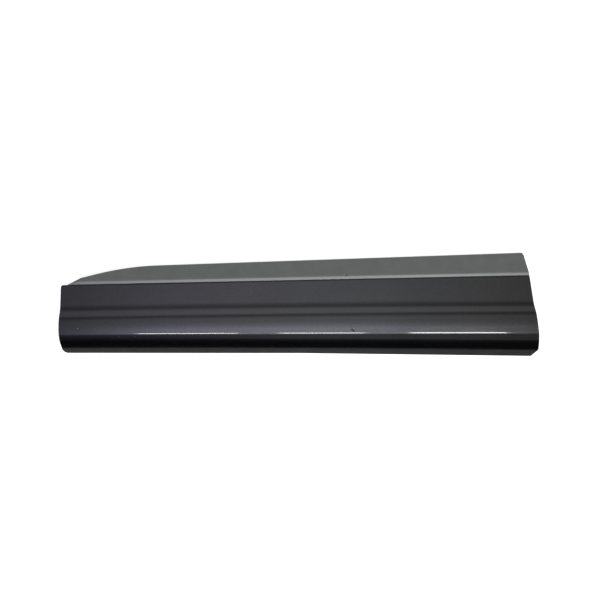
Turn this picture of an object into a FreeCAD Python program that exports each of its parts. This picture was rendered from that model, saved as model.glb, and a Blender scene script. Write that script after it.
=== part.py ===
# Lower door side moulding of a car: one injection-moulded plastic shell that lies on its back.
# X runs along the car, +Y is up the door and +Z points away from the door.
# The origin lies under the middle of the moulding, on the plane of the rim that meets the door.
import FreeCAD
import Part
import Sketcher

import os

doc = FreeCAD.newDocument("door_moulding")
sheet = doc.addObject("Spreadsheet::Sheet", "sizes")

# Driving sizes in millimetres and degrees
driving = {
    # Plan of the outline
    "length": 1000.0,
    "rim_tip_x": -486.4,
    "rim_shoulder_x": -467.5,
    "rim_shoulder_y": 53.2,
    "rim_bend_x": -365.6,
    "rim_bend_y": 79.9,
    "rim_corner_x": 470.0,
    "rim_corner_y": 109.2,
    "fold_end_x": 480.6,
    "fold_end_y": 56.0,
    "bottom_left": -102.7,
    "bottom_mid": -103.1,
    "bottom_right": -109.2,
    "tip_radius": 4.0,
    "shoulder_radius": 60.0,
    "bend_radius": 600.0,
    "corner_radius": 5.0,
    "lip_corner_radius": 9.0,
    "lip_chamfer_x": 12.0,
    "lip_chamfer_y": 14.0,
    # Long lines of the section, as height up the door at the left end, the middle and the right end
    "fold_left": 48.4,
    "fold_mid": 58.6,
    "fold_right": 69.0,
    "mask_left": 40.8,
    "mask_mid": 51.2,
    "mask_right": 61.6,
    "step_top_left": -8.9,
    "step_top_mid": -1.9,
    "step_top_right": 1.5,
    "step_foot_left": -29.6,
    "step_foot_mid": -21.7,
    "step_foot_right": -17.1,
    "belly_left": -46.0,
    "belly_mid": -41.0,
    "belly_right": -38.0,
    "crease_left": -62.5,
    "crease_mid": -60.4,
    "crease_right": -59.1,
    "turn_left": -77.0,
    "turn_mid": -75.6,
    "turn_right": -76.5,
    "lip_root_left": -89.5,
    "lip_root_mid": -89.3,
    "lip_root_right": -94.2,
    # Depth of the same lines over the rim plane, and the slope of the ledge
    "fold_z": 23.5,
    "mask_z": 22.5,
    "step_top_z": 27.5,
    "step_foot_z": 37.5,
    "belly_z": 39.6,
    "crease_z": 38.6,
    "turn_z": 31.5,
    "lip_root_z": 18.5,
    "lip_edge_z": 3.0,
    "ledge_slope": 20.0,
    # Soft edges of the skin
    "fold_radius": 8.0,
    "step_top_radius": 45.0,
    "step_foot_radius": 30.0,
    "belly_radius": 100.0,
    "crease_radius": 12.0,
    "turn_radius": 30.0,
    # Masking grooves that the paint stops in, below the shoulder and at the root of the lip
    "groove_width": 2.4,
    "groove_depth": 1.2,
    # Wall, low back ribs and clip towers
    "wall": 3.0,
    "rib_thickness": 2.0,
    "rib_pitch": 80.0,
    "rib_height": 6.0,
    "tower_pitch": 160.0,
    "tower_y": 10.0,
    "tower_length": 30.0,
    "tower_width": 26.0,
    "tower_wall": 2.5,
    "seat_z": 8.0,
    "seat_thickness": 2.5,
    "seat_radius": 5.0,
    "seat_neck": 6.0,
}
for row, (name, value) in enumerate(driving.items(), start=1):
    sheet.set(f"A{row}", name)
    sheet.set(f"B{row}", str(value))
    sheet.setAlias(f"B{row}", name)
doc.recompute()

# The section sketches stand this far past each end, and the forms run this far below the rim plane
overhang = 20.0
below = 5.0
sides = {"left": -1, "mid": 0, "right": 1}
# A section sketch stands across the moulding: its own x is up the door and its own y is outward
section_turn = FreeCAD.Rotation(
    FreeCAD.Vector(0, 1, 0), FreeCAD.Vector(0, 0, 1), FreeCAD.Vector(1, 0, 0), "ZXY"
)


def closed_sketch(name, points):
    """A closed outline of straight edges whose corners follow the sheet; points are (x, y) formulas."""
    sketch = doc.addObject("Sketcher::SketchObject", name)
    start = [tuple(sheet_value(term) for term in point) for point in points]
    for i in range(len(points)):
        here = FreeCAD.Vector(*start[i], 0)
        there = FreeCAD.Vector(*start[(i + 1) % len(points)], 0)
        sketch.addGeometry(Part.LineSegment(here, there), False)
    for i in range(len(points)):
        sketch.addConstraint(Sketcher.Constraint("Coincident", i, 2, (i + 1) % len(points), 1))
    for i, point in enumerate(points):
        for axis, term, value in zip(("DistanceX", "DistanceY"), point, start[i]):
            index = sketch.addConstraint(Sketcher.Constraint(axis, i, 1, value))
            sketch.setExpression(f"Constraints[{index}]", term)
    return sketch


def sheet_value(term):
    """The number that a formula on the sheet gives now."""
    return float(doc.sizes.evalExpression(term.replace("sizes.", "")))


def height(line, side):
    """Height of a long line at a section sketch, carried on past the end of the moulding."""
    if side == "mid":
        return f"sizes.{line}_mid"
    reach = 1 + overhang / (driving["length"] / 2)
    return f"(sizes.{line}_mid + (sizes.{line}_{side} - sizes.{line}_mid) * {reach})"


def slope(first, second):
    """Rise of the skin's depth from one corner of the section to the next."""
    return f"(({second[1]} - ({first[1]})) / ({second[0]} - ({first[0]})))"


def moved_in(before, here, after, inset):
    """A corner of the section moved in so that both faces at it lie one inset deeper."""
    if before is None or after is None:
        rise = slope(here, after) if before is None else slope(before, here)
        long = f"sqrt(1 + {rise}^2)"
        return (f"{here[0]} + {inset} * {rise} / {long}", f"{here[1]} - {inset} / {long}")
    rise_1 = slope(before, here)
    rise_2 = slope(here, after)
    long_1 = f"sqrt(1 + {rise_1}^2)"
    long_2 = f"sqrt(1 + {rise_2}^2)"
    share = f"{inset} / ({long_1} * {long_2} + 1 + {rise_1} * {rise_2})"
    return (
        f"{here[0]} + {share} * ({rise_1} * {long_2} + {rise_2} * {long_1})",
        f"{here[1]} - {share} * ({long_1} + {long_2})",
    )


def section_corners(side):
    """Corners of the outside of the section at one sketch, from the ledge's foot round to the lip's."""
    fold = height("fold", side)
    root = height("lip_root", side)
    edge = height("bottom", side)
    ledge = "tan(sizes.ledge_slope * 1 deg)"
    lip = f"((sizes.lip_root_z - sizes.lip_edge_z) / ({root} - {edge}))"
    corners = [(f"({fold} + (sizes.fold_z + {below}) / {ledge})", f"(-{below})")]
    for line in ("fold", "mask", "step_top", "step_foot", "belly", "crease", "turn", "lip_root"):
        corners.append((height(line, side), f"sizes.{line}_z"))
    corners.append((f"({edge} - (sizes.lip_edge_z + {below}) / {lip})", f"(-{below})"))
    return corners


def section_form(name, inset):
    """A solid that fills the moulding's section, every face moved in by the inset, along its length."""
    sections = []
    for side, sign in sides.items():
        corners = section_corners(side)
        ends = [None] + corners + [None]
        if inset == "0":
            points = corners
        else:
            points = [moved_in(*ends[i : i + 3], inset) for i in range(len(corners))]
        sketch = closed_sketch(f"{name}_section_{side}", points)
        sketch.Placement = FreeCAD.Placement(FreeCAD.Vector(0, 0, 0), section_turn)
        sketch.setExpression("Placement.Base.x", f"{sign} * (sizes.length / 2 + {overhang})")
        sections.append(sketch)
    loft = doc.addObject("Part::Loft", f"{name}_run")
    loft.Sections = sections
    loft.Solid = True
    loft.Ruled = False
    return loft


def soften(name, run, radii):
    """Rounds the long edges of a form; radii: line name to its radius formula."""
    body = doc.addObject("PartDesign::Body", name)
    body.BaseFeature = run
    doc.recompute()
    for line, radius in radii.items():
        y = sheet_value(f"sizes.{line}_mid")
        z = sheet_value(f"sizes.{line}_z")
        base = body.Tip
        target = FreeCAD.Vector(0, y, z)
        gaps = []
        for index, edge in enumerate(base.Shape.Edges, start=1):
            if edge.BoundBox.XLength > driving["length"]:
                gaps.append((edge.distToShape(Part.Vertex(target))[0], index))
        fillet = body.newObject("PartDesign::Fillet", f"{name}_{line}")
        fillet.Base = (base, [f"Edge{min(gaps)[1]}"])
        fillet.setExpression("Radius", radius)
        doc.recompute()
    return body


def plan_prism(name, inset, low, high):
    """The outline seen from the front, moved in by the inset and carried from one depth to another."""
    if inset == "0":
        outline = plan_face
    else:
        outline = doc.addObject("Part::Offset2D", f"{name}_outline")
        outline.Source = plan_face
        outline.setExpression("Value", f"-({inset})")
        outline.Join = "Intersection"
    prism = doc.addObject("Part::Extrusion", name)
    prism.Base = outline
    prism.DirMode = "Custom"
    prism.Dir = FreeCAD.Vector(0, 0, 1)
    prism.LengthFwd = high
    prism.LengthRev = -low
    prism.Solid = True
    return prism


def both(name, first, second):
    """The space that two shapes share."""
    shared = doc.addObject("Part::Common", name)
    shared.Base = first
    shared.Tool = second
    return shared


def less(name, first, second):
    """The first shape with the second cut out of it."""
    rest = doc.addObject("Part::Cut", name)
    rest.Base = first
    rest.Tool = second
    return rest


# Outline seen from the front: the ledge runs out to a tip at the left, the right end slants, and
# the lip turns its corners with a radius at the left and a chamfer at the right
plan_points = [
    ("-sizes.length / 2", "sizes.mask_left - 0.3"),
    ("sizes.rim_tip_x", "sizes.mask_left"),
    ("sizes.rim_shoulder_x", "sizes.rim_shoulder_y"),
    ("sizes.rim_bend_x", "sizes.rim_bend_y"),
    ("sizes.rim_corner_x", "sizes.rim_corner_y"),
    ("sizes.fold_end_x", "sizes.fold_end_y"),
    ("sizes.length / 2", "sizes.bottom_right + sizes.lip_chamfer_y"),
    ("sizes.length / 2 - sizes.lip_chamfer_x", "sizes.bottom_right"),
    ("0", "sizes.bottom_mid"),
    ("-sizes.length / 2", "sizes.bottom_left"),
]
plan_radii = {
    0: "sizes.tip_radius",
    2: "sizes.shoulder_radius",
    3: "sizes.bend_radius",
    4: "sizes.corner_radius",
    9: "sizes.lip_corner_radius",
}
plan = closed_sketch("plan", plan_points)
doc.recompute()
for corner, radius in plan_radii.items():
    first_new = len(plan.Geometry)
    plan.fillet(corner, 1, sheet_value(radius), 1, True)
    arcs = [i for i in range(first_new, len(plan.Geometry)) if "Arc" in plan.Geometry[i].TypeId]
    index = plan.addConstraint(Sketcher.Constraint("Radius", arcs[0], sheet_value(radius)))
    plan.setExpression(f"Constraints[{index}]", radius)
plan_face = doc.addObject("Part::Face", "plan_face")
plan_face.Sources = [plan]
doc.recompute()

# Outside of the skin: the section run, its long edges rounded, cut to the outline
skin_radii = {
    "step_top": "sizes.step_top_radius",
    "step_foot": "sizes.step_foot_radius",
    "belly": "sizes.belly_radius",
    "turn": "sizes.turn_radius",
    "crease": "sizes.crease_radius",
    "fold": "sizes.fold_radius",
}
outer_run = soften("outer_skin", section_form("outer", "0"), skin_radii)
outer = both("outer", outer_run, plan_prism("outer_plan", "0", 0, 80))

# Hollow behind the skin, one wall thickness in from the outside all round
core_radii = {
    "step_top": "sizes.step_top_radius + sizes.wall",
    "step_foot": "sizes.step_foot_radius - sizes.wall",
    "belly": "sizes.belly_radius - sizes.wall",
    "turn": "sizes.turn_radius - sizes.wall",
    "crease": "sizes.crease_radius - sizes.wall",
}
core_run = soften("core_skin", section_form("core", "sizes.wall"), core_radii)
core = both("core", core_run, plan_prism("core_plan", "sizes.wall", -1, 80))
shell = less("shell", outer, core)

# Masking grooves: a shallow channel along the foot of the shoulder, from the tip to the right end,
# and one along the root of the lip
def channel(name, line, start, first):
    """A square channel just below a long line of the skin; first is its height at the start."""
    places = {"left": start, "mid": "0", "right": f"sizes.length / 2 + {overhang}"}
    sections = []
    for side, at in places.items():
        high = first if side == "left" else height(line, side)
        low = f"({high} - sizes.groove_width)"
        floor = f"(sizes.{line}_z - sizes.groove_depth)"
        roof = f"(sizes.{line}_z + 3)"
        sketch = closed_sketch(f"{name}_{side}", [(low, floor), (high, floor), (high, roof), (low, roof)])
        sketch.Placement = FreeCAD.Placement(FreeCAD.Vector(0, 0, 0), section_turn)
        sketch.setExpression("Placement.Base.x", at)
        sections.append(sketch)
    cutter = doc.addObject("Part::Loft", name)
    cutter.Sections = sections
    cutter.Solid = True
    return cutter


upper_groove = channel("upper_groove", "mask", "sizes.rim_tip_x + sizes.groove_width", "sizes.mask_left")
lower_groove = channel(
    "lower_groove", "lip_root", f"-(sizes.length / 2 + {overhang})", height("lip_root", "left")
)
grooved = less("grooved", less("upper_grooved", shell, upper_groove), lower_groove)

# Ribs and towers reach half way into the wall, so that they grow out of it without showing in front
anchor = both(
    "anchor",
    section_form("anchor", "sizes.wall / 2"),
    plan_prism("anchor_plan", "sizes.wall / 2", 0, 80),
)


def block(name, x, y, z, size):
    """A box given by its middle in X and Y, its underside and its three sizes, all formulas."""
    box = doc.addObject("Part::Box", name)
    box.setExpression("Length", size[0])
    box.setExpression("Width", size[1])
    box.setExpression("Height", size[2])
    box.setExpression("Placement.Base.x", f"({x}) - ({size[0]}) / 2")
    box.setExpression("Placement.Base.y", f"({y}) - ({size[1]}) / 2")
    box.setExpression("Placement.Base.z", z)
    return box


def group(name, shapes):
    """Several shapes as one."""
    fused = doc.addObject("Part::MultiFuse", name)
    fused.Shapes = shapes
    return fused


# Low ribs across the back, kept short of the rim plane so that the painted face shows no sink marks
hollow_inset = "(sizes.wall + sizes.rib_height)"
hollow = both(
    "rib_clear",
    section_form("rib_clear", hollow_inset),
    plan_prism("rib_clear_plan", hollow_inset, -1, 80),
)
rib_places = [i - 5.5 for i in range(12)]
rib_plates = [
    block(f"rib_{i + 1}", f"{place} * sizes.rib_pitch", "0", "2", ("sizes.rib_thickness", "260", "60"))
    for i, place in enumerate(rib_places)
]
ribs = less("ribs", group("rib_plates", rib_plates), hollow)

# Clip towers: a cup with its mouth to the skin, open on its lower side, and a keyhole in its seat
tower_places = [-2.5, -1.5, -0.5, 0.5, 1.5, 2.5]
shells = []
rooms = []
keyholes = []
for i, place in enumerate(tower_places):
    x = f"{place} * sizes.tower_pitch"
    shells.append(
        block(
            f"tower_{i + 1}",
            x,
            "sizes.tower_y",
            "sizes.seat_z",
            ("sizes.tower_length", "sizes.tower_width", "60"),
        )
    )
    rooms.append(
        block(
            f"room_{i + 1}",
            x,
            "sizes.tower_y - sizes.tower_wall",
            "sizes.seat_z + sizes.seat_thickness",
            ("sizes.tower_length - 2 * sizes.tower_wall", "sizes.tower_width", "60"),
        )
    )
    hole = doc.addObject("Part::Cylinder", f"seat_hole_{i + 1}")
    hole.setExpression("Radius", "sizes.seat_radius")
    hole.setExpression("Height", "sizes.seat_thickness + 2")
    hole.setExpression("Placement.Base.x", x)
    hole.setExpression("Placement.Base.y", "sizes.tower_y")
    hole.setExpression("Placement.Base.z", "sizes.seat_z - 1")
    keyholes.append(hole)
    keyholes.append(
        block(
            f"seat_neck_{i + 1}",
            x,
            "sizes.tower_y - sizes.tower_width / 2",
            "sizes.seat_z - 1",
            ("sizes.seat_neck", "sizes.tower_width", "sizes.seat_thickness + 2"),
        )
    )
clearings = group("clearings", rooms + keyholes)
tower_group = group("towers", shells)
anchored = both("anchored", group("back_detail", [ribs, tower_group]), anchor)

# The space inside the cups is cleared only as far as the inside of the skin
cleared = both("cleared", clearings, core)
back = less("back", anchored, cleared)
whole = group("whole", [grooved, back])
whole.Refine = True

moulding = doc.addObject("PartDesign::Body", "door_moulding")
moulding.Label = "door_moulding"
moulding.BaseFeature = whole
doc.recompute()

# Check the tree and write the part
for thing in doc.Objects:
    if "Invalid" in thing.State or "Error" in thing.State:
        raise RuntimeError(f"{thing.Name} did not build: {thing.State}")
os.makedirs("parts", exist_ok=True)
for piece in [moulding]:
    shape = piece.Shape
    if shape.isNull() or not shape.isValid() or len(shape.Solids) != 1:
        raise RuntimeError(f"{piece.Label} is not one valid solid")
    shape.exportStep(f"parts/{piece.Label}.step")
    print(piece.Label, round(shape.Volume), len(shape.Faces), shape.optimalBoundingBox())
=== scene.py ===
import math

import bpy
import numpy as np
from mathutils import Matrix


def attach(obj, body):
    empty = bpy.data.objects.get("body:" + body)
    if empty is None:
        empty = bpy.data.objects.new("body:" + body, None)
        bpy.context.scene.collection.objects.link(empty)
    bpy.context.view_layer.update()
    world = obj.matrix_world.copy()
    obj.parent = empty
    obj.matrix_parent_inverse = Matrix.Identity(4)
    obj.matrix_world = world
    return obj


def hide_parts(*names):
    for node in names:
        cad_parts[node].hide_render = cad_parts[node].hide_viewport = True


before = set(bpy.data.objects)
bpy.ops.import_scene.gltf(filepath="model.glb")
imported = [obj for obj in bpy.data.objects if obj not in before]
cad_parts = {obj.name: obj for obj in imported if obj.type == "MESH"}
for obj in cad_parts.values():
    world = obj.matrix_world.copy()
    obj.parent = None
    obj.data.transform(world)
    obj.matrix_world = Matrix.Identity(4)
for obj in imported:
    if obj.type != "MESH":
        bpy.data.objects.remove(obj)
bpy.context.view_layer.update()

# Camera. The moulding lies on its back on the floor and is seen from straight above, from about
# the height of a ladder; the picture is square, and its middle falls a little above the middle line.
picture_width = 600
camera_height = 1.640
floor_per_pixel = 0.002119
camera_data = bpy.data.cameras.new("camera")
camera_data.sensor_width = 36.0
camera_data.lens = 36.0 * camera_height / (picture_width * floor_per_pixel)
camera = bpy.data.objects.new("camera", camera_data)
camera.location = (0.0, 0.0094, camera_height)
camera.rotation_euler = (0.0, 0.0, 0.0)
bpy.context.scene.collection.objects.link(camera)
bpy.context.scene.camera = camera
bpy.context.scene.view_settings.view_transform = "Standard"

# Floor. A smooth white sheet of studio card, wide enough to fill every view. It is lit so strongly
# that it comes out plain white, also in the shadow of the moulding.
floor_mesh = bpy.data.meshes.new("floor")
floor_mesh.from_pydata([(-9, -9, 0), (9, -9, 0), (9, 9, 0), (-9, 9, 0)], [], [(0, 1, 2, 3)])
floor = bpy.data.objects.new("floor", floor_mesh)
bpy.context.scene.collection.objects.link(floor)
floor_card = bpy.data.materials.new("white studio card")
floor_card.use_nodes = True
card_nodes = floor_card.node_tree.nodes
card_links = floor_card.node_tree.links
card_shader = card_nodes["Principled BSDF"]
card_shader.inputs["Base Color"].default_value = (0.86, 0.86, 0.86, 1.0)
card_shader.inputs["Roughness"].default_value = 0.9
card_shader.inputs["Specular IOR Level"].default_value = 0.0
# The card glows where it is looked at, and less where the paint mirrors it
card_paths = card_nodes.new("ShaderNodeLightPath")
card_mirrored = card_nodes.new("ShaderNodeMath")
card_mirrored.operation = "MULTIPLY"
card_mirrored.inputs[1].default_value = 0.60
card_links.new(card_paths.outputs["Is Glossy Ray"], card_mirrored.inputs[0])
card_seen = card_nodes.new("ShaderNodeMath")
card_seen.operation = "MULTIPLY"
card_seen.inputs[1].default_value = 0.80
card_links.new(card_paths.outputs["Is Camera Ray"], card_seen.inputs[0])
card_glow = card_nodes.new("ShaderNodeMath")
card_glow.operation = "MAXIMUM"
card_links.new(card_seen.outputs[0], card_glow.inputs[0])
card_links.new(card_mirrored.outputs[0], card_glow.inputs[1])
card_shader.inputs["Emission Color"].default_value = (1.0, 1.0, 1.0, 1.0)
card_links.new(card_glow.outputs[0], card_shader.inputs["Emission Strength"])
floor_mesh.materials.append(floor_card)

# Room and lamps. The ceiling glows softly, brightest over the bench and on the two sides of it, and
# dims toward both ends; soft boxes hung in front of it give the narrow highlights.
room = bpy.data.worlds.new("room")
bpy.context.scene.world = room
room.use_nodes = True
room_nodes = room.node_tree.nodes
room_links = room.node_tree.links
room_place = room_nodes.new("ShaderNodeTexCoord")
room_axes = room_nodes.new("ShaderNodeSeparateXYZ")
room_links.new(room_place.outputs["Generated"], room_axes.inputs["Vector"])
room_angle = room_nodes.new("ShaderNodeMath")
room_angle.operation = "ARCTAN2"
room_links.new(room_axes.outputs["Y"], room_angle.inputs[0])
room_links.new(room_axes.outputs["Z"], room_angle.inputs[1])
room_part = room_nodes.new("ShaderNodeMapRange")
room_part.inputs["From Min"].default_value = -math.pi / 2
room_part.inputs["From Max"].default_value = math.pi / 2
room_links.new(room_angle.outputs[0], room_part.inputs["Value"])
# Brightness of the room at an angle from straight up, in degrees, positive up the door; the steps
# were fitted until the faces of the moulding mirrored them as the real one does in its picture
room_stops = [
    (-90, 0.05), (-50, 0.14), (-32, 0.27), (-18, 0.17), (-6, 0.31), (4, 0.43),
    (14, 0.51), (23, 0.37), (32, 0.19), (42, 0.26), (53, 1.02), (66, 0.34), (90, 0.25),
]
window_stops = [(-90, 0.0), (-44, 0.0), (-30, 0.08), (-12, 0.70), (2, 0.18), (14, 0.0), (90, 0.0)]


def room_ramp(stops):
    """Brightness of the room against the angle from straight up."""
    shade = room_nodes.new("ShaderNodeValToRGB")
    shade.color_ramp.interpolation = "B_SPLINE"
    shade.color_ramp.elements[0].color = (*[stops[0][1]] * 3, 1.0)
    shade.color_ramp.elements[1].color = (*[stops[-1][1]] * 3, 1.0)
    for degrees, glow in stops[1:-1]:
        shade.color_ramp.elements.new((degrees + 90) / 180).color = (glow, glow, glow, 1.0)
    room_links.new(room_part.outputs["Result"], shade.inputs["Fac"])
    return shade.outputs["Color"]


def room_math(operation, first, second):
    """One sum or product of two values, each a socket or a number."""
    node = room_nodes.new("ShaderNodeMath")
    node.operation = operation
    for socket, value in zip(node.inputs, (first, second)):
        if isinstance(value, float):
            socket.default_value = value
        else:
            room_links.new(value, socket)
    return node.outputs[0]


def room_falls(middle, reach, least):
    """1 over the middle of the bench, falling to the least where the direction leans by the reach."""
    lean = room_math("SUBTRACT", room_axes.outputs["X"], middle)
    sideways = room_math("MULTIPLY", lean, lean)
    falls = room_nodes.new("ShaderNodeMapRange")
    falls.inputs["From Max"].default_value = reach * reach
    falls.inputs["To Min"].default_value = 1.0
    falls.inputs["To Max"].default_value = least
    room_links.new(sideways, falls.inputs["Value"])
    return falls.outputs["Result"]


glow = room_math(
    "ADD",
    room_math("MULTIPLY", room_ramp(room_stops), room_falls(0.0, 0.40, 0.35)),
    room_math("MULTIPLY", room_ramp(window_stops), room_falls(-0.06, 0.22, 0.0)),
)
# Where the camera looks past the floor it meets a white wall
room_paths = room_nodes.new("ShaderNodeLightPath")
room_back = room_nodes["Background"]
room_back.inputs["Color"].default_value = (1.0, 1.0, 1.0, 1.0)
wall = room_math("MAXIMUM", glow, room_paths.outputs["Is Camera Ray"])
room_links.new(wall, room_back.inputs["Strength"])


def soft_box(name, place, aim, width, depth, watts):
    """A rectangular lamp hung at a place and turned to face a point."""
    data = bpy.data.lights.new(name, "AREA")
    data.shape = "RECTANGLE"
    data.size = width
    data.size_y = depth
    data.energy = watts
    lamp = bpy.data.objects.new(name, data)
    way = [place[i] - aim[i] for i in range(3)]
    flat = math.hypot(way[0], way[1])
    lamp.rotation_euler = (math.atan2(flat, way[2]), 0.0, math.atan2(way[0], -way[1]))
    lamp.location = place
    bpy.context.scene.collection.objects.link(lamp)


soft_box("left strip", (-0.517, -0.68, 1.90), (-0.517, 0.0, 0.0), 0.455, 0.34, 7.0)
soft_box("middle strip", (0.103, -0.68, 1.90), (0.103, 0.0, 0.0), 0.39, 0.46, 6.6)
soft_box("right strip", (0.733, -0.68, 1.90), (0.733, 0.0, 0.0), 0.444, 0.64, 12.7)

# Two low black cards below the moulding, one upright and one on the floor. They throw no shadow
# and only show in reflections, so that the glossy undercut and the lip have something dark to mirror
flag_mesh = bpy.data.meshes.new("black cards")
flag_mesh.from_pydata(
    [
        (-0.80, -0.30, 0.0),
        (0.80, -0.30, 0.0),
        (0.80, -0.30, 0.20),
        (-0.80, -0.30, 0.20),
        (-0.80, -0.112, 0.001),
        (0.80, -0.112, 0.001),
        (0.80, -0.30, 0.001),
        (-0.80, -0.30, 0.001),
    ],
    [],
    [(0, 1, 2, 3), (4, 5, 6, 7)],
)
flag = bpy.data.objects.new("black_cards", flag_mesh)
bpy.context.scene.collection.objects.link(flag)
flag_card = bpy.data.materials.new("black card")
flag_card.use_nodes = True
flag_card.node_tree.nodes["Principled BSDF"].inputs["Base Color"].default_value = (0.01, 0.01, 0.01, 1.0)
flag_card.node_tree.nodes["Principled BSDF"].inputs["Specular IOR Level"].default_value = 0.0
flag_mesh.materials.append(flag_card)
flag.visible_camera = False
flag.visible_shadow = False
flag.visible_diffuse = False


# Door moulding. One shell of injection-moulded plastic with a 3 mm wall: its face carries dark
# metallic paint under clear coat, masked off along the ledge above and the lip below, which stay
# bare grey. It grows out of one mould with the ribs and clip towers on its back.
LENGTH = 1.000
WALL = 0.003
GROOVE_WIDTH = 0.0024
GROOVE_DEPTH = 0.0012
LEDGE_SLOPE = math.tan(math.radians(20.0))

# Height up the door of each long line at the left end, the middle and the right end, its depth
# over the rim plane, and the radius that rounds the section there
long_lines = {
    "fold": (0.0484, 0.0586, 0.0690, 0.0235, 0.008),
    "mask": (0.0408, 0.0512, 0.0616, 0.0225, 0.0005),
    "step_top": (-0.0089, -0.0019, 0.0015, 0.0275, 0.045),
    "step_foot": (-0.0296, -0.0217, -0.0171, 0.0375, 0.030),
    "belly": (-0.0460, -0.0410, -0.0380, 0.0396, 0.100),
    "crease": (-0.0625, -0.0604, -0.0591, 0.0386, 0.012),
    "turn": (-0.0770, -0.0756, -0.0765, 0.0315, 0.030),
    "lip_root": (-0.0895, -0.0893, -0.0942, 0.0185, 0.003),
    "lip_edge": (-0.1027, -0.1031, -0.1092, 0.0030, 0.0),
}


def line_y(name, x):
    """Height up the door of a long line: a gentle bow through its three places."""
    left, mid, right = long_lines[name][:3]
    t = np.asarray(x, float) / (LENGTH / 2)
    return mid + (right - left) / 2 * t + ((right + left) / 2 - mid) * t * t


def bottom_y(x):
    """Lower edge of the lip: level on the left half, falling away to the right."""
    x = np.asarray(x, float)
    return np.where(x < 0, -0.1031 - 0.0008 * x, -0.1031 - 0.0125 * x)


def rounded_bend(x, bend_x, before, after, radius):
    """How far a rounded bend pulls a broken line in at x; before and after are its two slopes."""
    turn = abs(math.atan(after) - math.atan(before))
    reach = radius * math.tan(turn / 2)
    run = np.asarray(x) - bend_x + reach
    part = np.clip(run, 0, 2 * reach)
    curve = part * part / (4 * reach) + np.maximum(run - 2 * reach, 0)
    return (after - before) * (curve - np.maximum(np.asarray(x) - bend_x, 0))


rim_x = (-0.4864, -0.4675, -0.3656, 0.4700, 0.53)
rim_height = (0.0408, 0.0532, 0.0799, 0.1092, 0.1113)
rim_radius = (0, 0.060, 0.600, 0, 0)


def rim_y(x):
    """Upper edge of the ledge: level at the left end, up the tip, round the shoulder and along."""
    x = np.asarray(x, float)
    y = np.interp(x, rim_x, rim_height)
    for i in (1, 2):
        before = (rim_height[i] - rim_height[i - 1]) / (rim_x[i] - rim_x[i - 1])
        after = (rim_height[i + 1] - rim_height[i]) / (rim_x[i + 1] - rim_x[i])
        y = y + rounded_bend(x, rim_x[i], before, after, rim_radius[i])
    return np.where(x < rim_x[0], 0.0405 + 0.0003 * (x + 0.5) / 0.0136, y)


def right_end_x(y):
    """Right end seen from the front: slanted, with a round corner above and a chamfer below."""
    y = np.asarray(y, float)
    x = np.interp(y, (-0.1092, -0.0952, 0.0560, 0.1092), (0.4880, 0.5000, 0.4806, 0.4700))
    over = np.clip((y - 0.1052) / 0.004, 0.0, 1.0)
    return x - 0.004 * (1 - np.sqrt(1 - over * over * 0.999))


def left_end_x(y):
    """Left end seen from the front: square, with a small radius above and a larger one below."""
    y = np.asarray(y, float)
    under = np.clip((-0.0932 - y) / 0.009, 0.0, 1.0)
    over = np.clip((y - 0.0365) / 0.004, 0.0, 1.0) * (y < 0.0408)
    along_tip = np.interp(y, (0.0408, 0.0532), (-0.4864, -0.4675)) - 0.0004
    x = -LENGTH / 2 + 0.009 * (1 - np.sqrt(1 - under * under * 0.999))
    x = x + 0.004 * (1 - np.sqrt(1 - over * over * 0.999))
    return np.where(y > 0.0408, along_tip, x)


def skin_z(x, y, inset):
    """Depth of the skin over the rim plane: inset 0 is its outside, the wall its inside."""
    names = ("lip_root", "turn", "crease", "belly", "step_foot", "step_top", "mask", "fold")
    ys = [line_y(n, x) for n in names]
    zs = [long_lines[n][3] for n in names]
    radii = [long_lines[n][4] for n in names]
    hollow = [1, 1, 1, 1, 1, -1, -1, 1]
    edge = bottom_y(x)
    lip = (zs[0] - long_lines["lip_edge"][3]) / (ys[0] - edge)
    slopes = [lip] + [(zs[i + 1] - zs[i]) / (ys[i + 1] - ys[i]) for i in range(7)]
    slopes.append(-LEDGE_SLOPE + 0 * edge)
    z = zs[0] + slopes[0] * (y - ys[0]) - inset * np.sqrt(1 + slopes[0] ** 2)
    for i in range(8):
        before, after = slopes[i], slopes[i + 1]
        turn = np.abs(np.arctan(after) - np.arctan(before))
        radius = max(radii[i] - hollow[i] * inset, 0.0005)
        reach = np.maximum(radius * np.tan(turn / 2), 0.0001)
        bend = np.where(np.abs(after - before) < 1e-6, 1e-6, after - before)
        shift = inset * (np.sqrt(1 + after**2) - np.sqrt(1 + before**2)) / bend
        run = y - (ys[i] + shift) + reach
        part = np.clip(run, 0, 2 * reach)
        z = z + (after - before) * (part * part / (4 * reach) + np.maximum(run - 2 * reach, 0))
    return z


def groove_cut(x, y):
    """How deep the two masking grooves cut into the outside at a place."""
    cut = 0 * y
    for high in (line_y("mask", x), line_y("lip_root", x)):
        down = high - y
        cut = cut + np.clip(down / 0.0002, 0, 1) * np.clip((GROOVE_WIDTH - down) / 0.0002, 0, 1)
    return GROOVE_DEPTH * cut


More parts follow.
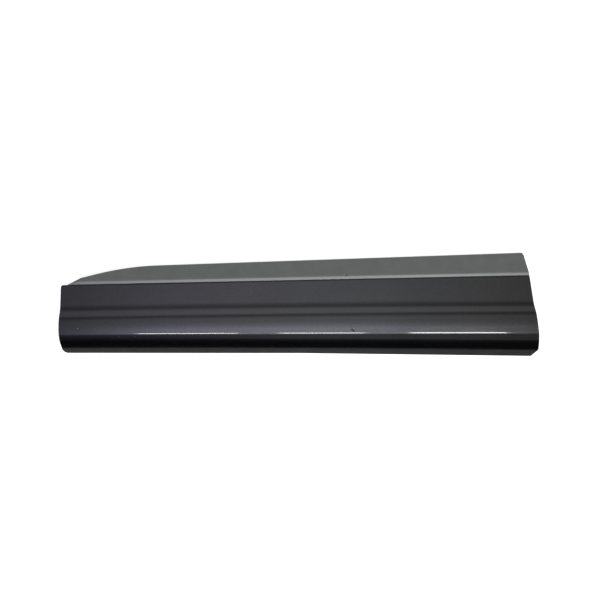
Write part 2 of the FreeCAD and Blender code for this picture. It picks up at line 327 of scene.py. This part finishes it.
# Rows of the skin's mesh, from the rim down to the lip's edge: which line they follow, how far
# below it, and the line and distance that they lead to
bands = [
    ("ledge", "rim", 0.0, "fold", -0.0022, 9),
    ("ledge", "fold", -0.0022, "fold", 0.0022, 8),
    ("shoulder", "fold", 0.0022, "mask", -0.0003, 4),
    # The dark groove rows begin 0.3 mm above the upper groove's cut: painted shade along its edge
    ("groove", "mask", -0.0003, "mask", 0.0, 1),
    ("groove", "mask", 0.0, "mask", 0.0002, 1),
    ("groove", "mask", 0.0002, "mask", GROOVE_WIDTH - 0.0002, 3),
    ("paint", "mask", GROOVE_WIDTH - 0.0002, "mask", GROOVE_WIDTH, 1),
    ("paint", "mask", GROOVE_WIDTH, "step_top", -0.010, 8),
    ("paint", "step_top", -0.010, "step_foot", 0.008, 30),
    ("paint", "step_foot", 0.008, "crease", -0.0040, 22),
    ("paint", "crease", -0.0040, "crease", 0.0040, 20),
    ("paint", "crease", 0.0040, "turn", 0.0, 8),
    ("paint", "turn", 0.0, "lip_root", 0.0, 14),
    ("paint", "lip_root", 0.0, "lip_root", 0.0002, 1),
    ("groove", "lip_root", 0.0002, "lip_root", GROOVE_WIDTH - 0.0002, 3),
    ("lip", "lip_root", GROOVE_WIDTH - 0.0002, "lip_root", GROOVE_WIDTH, 1),
    ("lip", "lip_root", GROOVE_WIDTH, "lip_edge", 0.0, 8),
]
rows = [(band[0], band[1:5], k / band[5]) for band in bands for k in range(band[5])]
rows.append(("lip", bands[-1][1:5], 1.0))
columns = np.unique(
    np.concatenate(
        [np.linspace(0, 1, 161), np.linspace(0, 0.03, 25), np.linspace(0.97, 1, 19), np.linspace(0, 0.2, 65)]
    )
)


def row_y(x, number, inset):
    """Height up the door of one row of the skin's mesh."""
    _, (high_line, high_drop, low_line, low_drop), part = rows[number]
    places = []
    for line, drop in ((high_line, high_drop), (low_line, low_drop)):
        if line == "rim":
            places.append(rim_y(x) - inset)
        elif line == "lip_edge":
            places.append(bottom_y(x) + inset)
        else:
            places.append(line_y(line, x) - drop)
    y = places[0] + (places[1] - places[0]) * part
    top = rim_y(x) - inset - 0.00001 * number
    return np.minimum(y, top)


def skin_grid(plan_inset, inset):
    """Points of the outside or the inside of the skin, one line of points for each row."""
    grid = np.zeros((len(rows), len(columns), 3))
    for r in range(len(rows)):
        x = -LENGTH / 2 + plan_inset + columns * (0.98 - 2 * plan_inset)
        for _ in range(8):
            y = row_y(x, r, plan_inset)
            left = left_end_x(y) + plan_inset
            right = right_end_x(y) - plan_inset
            x = left + columns * (right - left)
        y = row_y(x, r, plan_inset)
        grid[r, :, 0] = x
        grid[r, :, 1] = y
        grid[r, :, 2] = skin_z(x, y, inset)
        if inset == 0.0:
            grid[r, :, 2] -= groove_cut(x, y)
    grid[:, :, 2] = np.maximum(grid[:, :, 2], 0.0004)
    return grid


EDGE = 0.0004
outside = skin_grid(EDGE, 0.0)
outline = skin_grid(0.0, 0.0)
outline[:, :, 2] -= EDGE
inside = skin_grid(WALL, WALL)


def ring_of(grid):
    """The outer edge of a grid of points, once round, as row and column numbers."""
    r, c = len(rows) - 1, len(columns) - 1
    ring = [(0, j) for j in range(c)] + [(i, c) for i in range(r)]
    ring += [(r, j) for j in range(c, 0, -1)] + [(i, 0) for i in range(r, 0, -1)]
    return ring


vertices = []
faces = []
kinds = []


def add_points(points):
    """Adds points to the mesh and gives the number of the first."""
    start = len(vertices)
    vertices.extend([tuple(float(v) for v in p) for p in points])
    return start


def add_grid(grid, flip, kind_of):
    """Adds a grid of points and the faces between them; the kind of a face follows its row."""
    start = add_points(grid.reshape(-1, 3))
    wide = grid.shape[1]
    for i in range(grid.shape[0] - 1):
        for j in range(wide - 1):
            a = start + i * wide + j
            quad = (a, a + 1, a + wide + 1, a + wide)
            faces.append(quad if flip else quad[::-1])
            kinds.append(kind_of(i))
    return start


# Finishes of the faces. The lip and groove finishes are the one plastic with painted shade, the shoulder's
# the same plastic with a painted highlight
PAINT, BARE, LIP, GROOVE, SHOULDER = 0, 1, 2, 3, 4


def band_kind(i):
    """The finish of the faces below a row."""
    return {"paint": PAINT, "ledge": BARE, "lip": LIP, "groove": GROOVE, "shoulder": SHOULDER}[rows[i][0]]


out_start = add_grid(outside, False, band_kind)
in_start = add_grid(inside, True, lambda i: BARE)
ring = ring_of(outside)
wide = len(columns)
edge_out = [out_start + i * wide + j for i, j in ring]
edge_in = [in_start + i * wide + j for i, j in ring]
side_top = add_points([outline[i, j] for i, j in ring])
foot_out = add_points([(outline[i, j][0], outline[i, j][1], 0.0) for i, j in ring])
foot_in = add_points([(vertices[a][0], vertices[a][1], 0.0) for a in edge_in])
count = len(ring)
for k in range(count):
    n = (k + 1) % count
    i, j = ring[k]
    at_end = (j == 0 or j == wide - 1) and 0 < i < len(rows) - 1
    wall_kind = band_kind(i) if at_end else BARE
    faces.append((edge_out[k], side_top + k, side_top + n, edge_out[n]))
    kinds.append(wall_kind)
    faces.append((side_top + k, foot_out + k, foot_out + n, side_top + n))
    kinds.append(wall_kind)
    faces.append((foot_out + k, foot_in + k, foot_in + n, foot_out + n))
    kinds.append(BARE)
    faces.append((foot_in + k, edge_in[k], edge_in[n], foot_in + n))
    kinds.append(BARE)

# Ribs: thin plates across the hollow, 6 mm high under the skin and as deep along the edges
RIB_THICKNESS = 0.0020
RIB_PITCH = 0.0800
RIB_HEIGHT = 0.0060
ANCHOR = WALL / 2


def skin_arch(x, inset, foot):
    """Outline of the hollow across the moulding at x, from foot to foot, one inset deep."""
    high = float(rim_y(x)) - inset
    low = float(bottom_y(x)) + inset
    ys = np.concatenate([[high], np.linspace(high, low, 61), [low]])
    zs = skin_z(np.full(len(ys), x), ys, inset)
    zs = np.maximum(zs, foot + 0.0002)
    zs[0] = zs[-1] = foot
    return ys, zs


for i in range(12):
    x = (i - 5.5) * RIB_PITCH
    root_y, root_z = skin_arch(x, ANCHOR, 0.002)
    free_y, free_z = skin_arch(x, WALL + RIB_HEIGHT, 0.002)
    soft_y, soft_z = skin_arch(x, WALL + RIB_HEIGHT - 0.0004, 0.002)
    half = RIB_THICKNESS / 2
    loops = [(half, root_y, root_z), (half, soft_y, soft_z), (half - 0.0003, free_y, free_z)]
    loops += [(-reach, ys, zs) for reach, ys, zs in reversed(loops)]
    starts = [add_points([(x + reach, y, z) for y, z in zip(ys, zs)]) for reach, ys, zs in loops]
    steps = len(root_y)
    for a, b in zip(starts, starts[1:]):
        for k in range(steps - 1):
            faces.append((a + k, a + k + 1, b + k + 1, b + k))
            kinds.append(BARE)
    faces.append(tuple(starts))
    faces.append(tuple(a + steps - 1 for a in reversed(starts)))
    kinds += [BARE, BARE]

# Clip towers: a square cup, open toward the lower edge, whose seat has a keyhole for a clip's neck
TOWER_PITCH = 0.1600
TOWER_Y = 0.0100
TOWER_LENGTH = 0.0300
TOWER_WIDTH = 0.0260
TOWER_WALL = 0.0025
SEAT_Z = 0.0080
SEAT_THICKNESS = 0.0025
SEAT_RADIUS = 0.0050
SEAT_NECK = 0.0060
SOFT = 0.0003


def moved_outline(outline, inset):
    """A closed outline, counter-clockwise, with every side moved in by the inset."""
    moved = []
    for k, (x, y) in enumerate(outline):
        x0, y0 = outline[k - 1]
        x1, y1 = outline[(k + 1) % len(outline)]
        ax, ay = x - x0, y - y0
        bx, by = x1 - x, y1 - y
        a, b = math.hypot(ax, ay), math.hypot(bx, by)
        n0 = (-ay / a, ax / a)
        n1 = (-by / b, bx / b)
        share = inset / max(1 + n0[0] * n1[0] + n0[1] * n1[1], 0.2)
        moved.append((x + share * (n0[0] + n1[0]), y + share * (n0[1] + n1[1])))
    return moved


def finely(outline, step):
    """The same outline with its long sides cut into short ones."""
    points = []
    for k, (x, y) in enumerate(outline):
        x1, y1 = outline[(k + 1) % len(outline)]
        parts = max(1, round(math.hypot(x1 - x, y1 - y) / step))
        points += [(x + (x1 - x) * n / parts, y + (y1 - y) * n / parts) for n in range(parts)]
    return points


def add_prism(loops, open_low):
    """A solid between closed loops of points, the first lowest; its lower end may be left open."""
    starts = [add_points(loop) for loop in loops]
    size = len(loops[0])
    for a, b in zip(starts, starts[1:]):
        for k in range(size):
            n = (k + 1) % size
            faces.append((a + k, a + n, b + n, b + k))
            kinds.append(BARE)
    if not open_low:
        faces.append(tuple(starts[0] + k for k in range(size))[::-1])
        kinds.append(BARE)
    faces.append(tuple(starts[-1] + k for k in range(size)))
    kinds.append(BARE)


half_x = TOWER_LENGTH / 2
half_y = TOWER_WIDTH / 2
room_x = half_x - TOWER_WALL
neck = math.asin(SEAT_NECK / 2 / SEAT_RADIUS)
turns = [-math.pi / 2 - neck - (2 * math.pi - 2 * neck) * k / 28 for k in range(29)]
keyhole = [(SEAT_RADIUS * math.cos(t), SEAT_RADIUS * math.sin(t)) for t in turns]
seat = [(-SEAT_NECK / 2, -half_y)] + keyhole
seat += [(SEAT_NECK / 2, -half_y), (half_x, -half_y), (half_x, half_y)]
seat += [(-half_x, half_y), (-half_x, -half_y)]
cup = [(-half_x, -half_y), (-room_x, -half_y), (-room_x, half_y - TOWER_WALL)]
cup += [(room_x, half_y - TOWER_WALL), (room_x, -half_y), (half_x, -half_y)]
cup += [(half_x, half_y), (-half_x, half_y)]
cup = finely(cup, 0.003)
for i in range(6):
    x = (i - 2.5) * TOWER_PITCH
    plate = [(x + a, TOWER_Y + b) for a, b in seat]
    rim = moved_outline(plate, SOFT)
    seat_top = SEAT_Z + SEAT_THICKNESS
    add_prism(
        [
            [(a, b, SEAT_Z) for a, b in rim],
            [(a, b, SEAT_Z + SOFT) for a, b in plate],
            [(a, b, seat_top) for a, b in plate],
        ],
        False,
    )
    walls = [(x + a, TOWER_Y + b) for a, b in cup]
    roots = skin_z(np.array([a for a, b in walls]), np.array([b for a, b in walls]), ANCHOR)
    add_prism([[(a, b, seat_top) for a, b in walls], [(a, b, z) for (a, b), z in zip(walls, roots)]], True)

moulding_mesh = bpy.data.meshes.new("door moulding")
moulding_mesh.from_pydata(vertices, [], faces)
moulding_mesh.polygons.foreach_set("material_index", kinds)
moulding_mesh.polygons.foreach_set("use_smooth", [True] * len(faces))
moulding_mesh.update()
moulding = bpy.data.objects.new("door_moulding_skin", moulding_mesh)
bpy.context.scene.collection.objects.link(moulding)

# Paint: a dark blue-grey base full of fine metal flake under glossy clear coat that has a faint
# orange peel; one chip and three pale specks sit where the real piece has them
paint = bpy.data.materials.new("dark metallic paint")
paint.use_nodes = True
paint_nodes = paint.node_tree.nodes
paint_links = paint.node_tree.links
paint_shader = paint_nodes["Principled BSDF"]
paint_shader.inputs["Metallic"].default_value = 1.0
paint_shader.inputs["Coat Weight"].default_value = 1.0
paint_shader.inputs["Coat Roughness"].default_value = 0.06
paint_shader.inputs["Coat IOR"].default_value = 1.66
paint_place = paint_nodes.new("ShaderNodeTexCoord")


def noise(nodes, links, place, scale, detail, roughness=0.5):
    """A noise texture on the object's own coordinates; scale is in features per metre."""
    texture = nodes.new("ShaderNodeTexNoise")
    texture.inputs["Scale"].default_value = scale
    texture.inputs["Detail"].default_value = detail
    texture.inputs["Roughness"].default_value = roughness
    links.new(place.outputs["Object"], texture.inputs["Vector"])
    return texture


def ramp(nodes, links, source, stops):
    """Turns a grey value into colours; stops are pairs of place and colour."""
    shade = nodes.new("ShaderNodeValToRGB")
    shade.color_ramp.elements[0].position = stops[0][0]
    shade.color_ramp.elements[0].color = (*stops[0][1], 1.0)
    shade.color_ramp.elements[1].position = stops[-1][0]
    shade.color_ramp.elements[1].color = (*stops[-1][1], 1.0)
    for part, colour in stops[1:-1]:
        shade.color_ramp.elements.new(part).color = (*colour, 1.0)
    links.new(source, shade.inputs["Fac"])
    return shade


def spot(nodes, links, place, centre, radius):
    """A small round mark: 1 at its centre, 0 outside its radius, soft at the edge."""
    apart = nodes.new("ShaderNodeVectorMath")
    apart.operation = "DISTANCE"
    links.new(place.outputs["Object"], apart.inputs[0])
    apart.inputs[1].default_value = centre
    inside = nodes.new("ShaderNodeMapRange")
    inside.inputs["From Min"].default_value = radius
    inside.inputs["From Max"].default_value = radius * 0.5
    links.new(apart.outputs["Value"], inside.inputs["Value"])
    return inside


def mixed(nodes, links, amount, first, second):
    """A mix of two colours, each a socket or plain numbers; the amount is a socket."""
    mix = nodes.new("ShaderNodeMix")
    mix.data_type = "RGBA"
    links.new(amount, mix.inputs["Factor"])
    for socket, colour in ((mix.inputs[6], first), (mix.inputs[7], second)):
        if isinstance(colour, tuple):
            socket.default_value = (*colour, 1.0)
        else:
            links.new(colour, socket)
    return mix.outputs[2]


flake = paint_nodes.new("ShaderNodeTexVoronoi")
flake.inputs["Scale"].default_value = 2600.0
paint_links.new(paint_place.outputs["Object"], flake.inputs["Vector"])
flake_grey = paint_nodes.new("ShaderNodeSeparateColor")
paint_links.new(flake.outputs["Color"], flake_grey.inputs["Color"])
flake_shade = ramp(
    paint_nodes,
    paint_links,
    flake_grey.outputs["Red"],
    [(0.0, (0.035, 0.035, 0.043)), (0.72, (0.044, 0.044, 0.053)), (1.0, (0.080, 0.081, 0.093))],
)
cloud = noise(paint_nodes, paint_links, paint_place, 9.0, 3.0)
cloud_shade = ramp(
    paint_nodes, paint_links, cloud.outputs["Fac"], [(0.3, (0.92, 0.92, 0.92)), (0.7, (1.08, 1.08, 1.07))]
)
clouded = paint_nodes.new("ShaderNodeMix")
clouded.data_type = "RGBA"
clouded.blend_type = "MULTIPLY"
clouded.inputs["Factor"].default_value = 1.0
paint_links.new(flake_shade.outputs["Color"], clouded.inputs[6])
paint_links.new(cloud_shade.outputs["Color"], clouded.inputs[7])
# A slow tint along the moulding, warm and darker at the right end. The real paint is likely even:
# the tint stands for the light in its picture and was fitted to it, and one colour can replace it
along = paint_nodes.new("ShaderNodeSeparateXYZ")
paint_links.new(paint_place.outputs["Object"], along.inputs["Vector"])
along_part = paint_nodes.new("ShaderNodeMapRange")
along_part.inputs["From Min"].default_value = -0.5
along_part.inputs["From Max"].default_value = 0.5
paint_links.new(along.outputs["X"], along_part.inputs["Value"])
along_shade = ramp(
    paint_nodes,
    paint_links,
    along_part.outputs["Result"],
    [
        (0.0, (0.84, 0.84, 0.97)),
        (0.18, (1.00, 0.99, 1.16)),
        (0.34, (1.10, 1.06, 1.18)),
        (0.55, (1.06, 1.10, 1.08)),
        (0.72, (0.88, 0.91, 0.87)),
        (1.0, (0.72, 0.69, 0.60)),
    ],
)
toned = paint_nodes.new("ShaderNodeMix")
toned.data_type = "RGBA"
toned.blend_type = "MULTIPLY"
toned.inputs["Factor"].default_value = 1.0
paint_links.new(clouded.outputs[2], toned.inputs[6])
paint_links.new(along_shade.outputs["Color"], toned.inputs[7])
nick = spot(paint_nodes, paint_links, paint_place, (0.1108, -0.0534, 0.0390), 0.0033)
nick_tail = spot(paint_nodes, paint_links, paint_place, (0.1079, -0.0520, 0.0390), 0.0030)
colour = mixed(paint_nodes, paint_links, nick.outputs["Result"], toned.outputs[2], (0.006, 0.006, 0.006))
colour = mixed(paint_nodes, paint_links, nick_tail.outputs["Result"], colour, (0.012, 0.012, 0.012))
for centre in ((-0.4599, -0.0496, 0.0395), (-0.3759, -0.0669, 0.0365), (-0.3422, -0.0664, 0.0365)):
    speck = spot(paint_nodes, paint_links, paint_place, centre, 0.0011)
    colour = mixed(paint_nodes, paint_links, speck.outputs["Result"], colour, (0.26, 0.26, 0.25))
paint_links.new(colour, paint_shader.inputs["Base Color"])
haze = noise(paint_nodes, paint_links, paint_place, 60.0, 6.0, 0.7)
haze_range = paint_nodes.new("ShaderNodeMapRange")
haze_range.inputs["To Min"].default_value = 0.36
haze_range.inputs["To Max"].default_value = 0.44
paint_links.new(haze.outputs["Fac"], haze_range.inputs["Value"])
paint_links.new(haze_range.outputs["Result"], paint_shader.inputs["Roughness"])
peel = noise(paint_nodes, paint_links, paint_place, 420.0, 1.5)
peel_bump = paint_nodes.new("ShaderNodeBump")
peel_bump.inputs["Strength"].default_value = 0.05
peel_bump.inputs["Distance"].default_value = 0.000015
paint_links.new(peel.outputs["Fac"], peel_bump.inputs["Height"])
nick_bump = paint_nodes.new("ShaderNodeBump")
nick_bump.invert = True
nick_bump.inputs["Strength"].default_value = 0.15
nick_bump.inputs["Distance"].default_value = 0.0004
paint_links.new(nick.outputs["Result"], nick_bump.inputs["Height"])
paint_links.new(peel_bump.outputs["Normal"], nick_bump.inputs["Normal"])
paint_links.new(nick_bump.outputs["Normal"], paint_shader.inputs["Coat Normal"])
flake_bump = paint_nodes.new("ShaderNodeBump")
flake_bump.inputs["Strength"].default_value = 0.25
flake_bump.inputs["Distance"].default_value = 0.00003
paint_links.new(flake_grey.outputs["Green"], flake_bump.inputs["Height"])
paint_links.new(flake_bump.outputs["Normal"], paint_shader.inputs["Normal"])


def bare_plastic(name, dark, light, roughness):
    """Bare moulded plastic: fine spark-eroded grain, slight shade changes and rubbed patches."""
    material = bpy.data.materials.new(name)
    material.use_nodes = True
    nodes = material.node_tree.nodes
    links = material.node_tree.links
    shader = nodes["Principled BSDF"]
    place = nodes.new("ShaderNodeTexCoord")
    patch = noise(nodes, links, place, 35.0, 5.0, 0.6)
    shade = ramp(nodes, links, patch.outputs["Fac"], [(0.3, dark), (0.7, light)])
    mark = spot(nodes, links, place, (0.0972, 0.0606, 0.0232), 0.0022)
    shaded = mixed(nodes, links, mark.outputs["Result"], shade.outputs["Color"], (0.03, 0.03, 0.03))
    links.new(shaded, shader.inputs["Base Color"])
    rubbed = nodes.new("ShaderNodeMapRange")
    rubbed.inputs["To Min"].default_value = roughness - 0.06
    rubbed.inputs["To Max"].default_value = roughness + 0.06
    links.new(patch.outputs["Fac"], rubbed.inputs["Value"])
    links.new(rubbed.outputs["Result"], shader.inputs["Roughness"])
    grain = noise(nodes, links, place, 2200.0, 3.0, 0.6)
    bump = nodes.new("ShaderNodeBump")
    bump.inputs["Strength"].default_value = 0.30
    bump.inputs["Distance"].default_value = 0.00005
    links.new(grain.outputs["Fac"], bump.inputs["Height"])
    links.new(bump.outputs["Normal"], shader.inputs["Normal"])
    return material


# All of it is one plastic. The lip's darker grey is painted shade and the shoulder's paler grey
# a painted highlight, fitted to how they look in the light of the real one's picture; the near-black
# of the grooves is painted shade in the recesses, as they look there
bare = bare_plastic("bare grey plastic", (0.158, 0.166, 0.165), (0.180, 0.188, 0.186), 0.42)
lip_painted_shade = bare_plastic("bare grey plastic of the lip with painted shade", (0.036, 0.037, 0.041), (0.044, 0.045, 0.049), 0.45)
groove_painted_shade = bare_plastic("painted shade in the grooves", (0.010, 0.010, 0.011), (0.016, 0.016, 0.017), 0.60)
# The shoulder's paler grey is a painted highlight on the same plastic
shoulder_painted_highlight = bare_plastic(
    "bare plastic of the shoulder with painted highlight", (0.235, 0.243, 0.243), (0.270, 0.278, 0.278), 0.36
)
for material in (paint, bare, lip_painted_shade, groove_painted_shade, shoulder_painted_highlight):
    moulding_mesh.materials.append(material)
moulding.modifiers.new("corner shading", "EDGE_SPLIT").split_angle = math.radians(35)
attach(moulding, "root")
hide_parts("door_moulding")
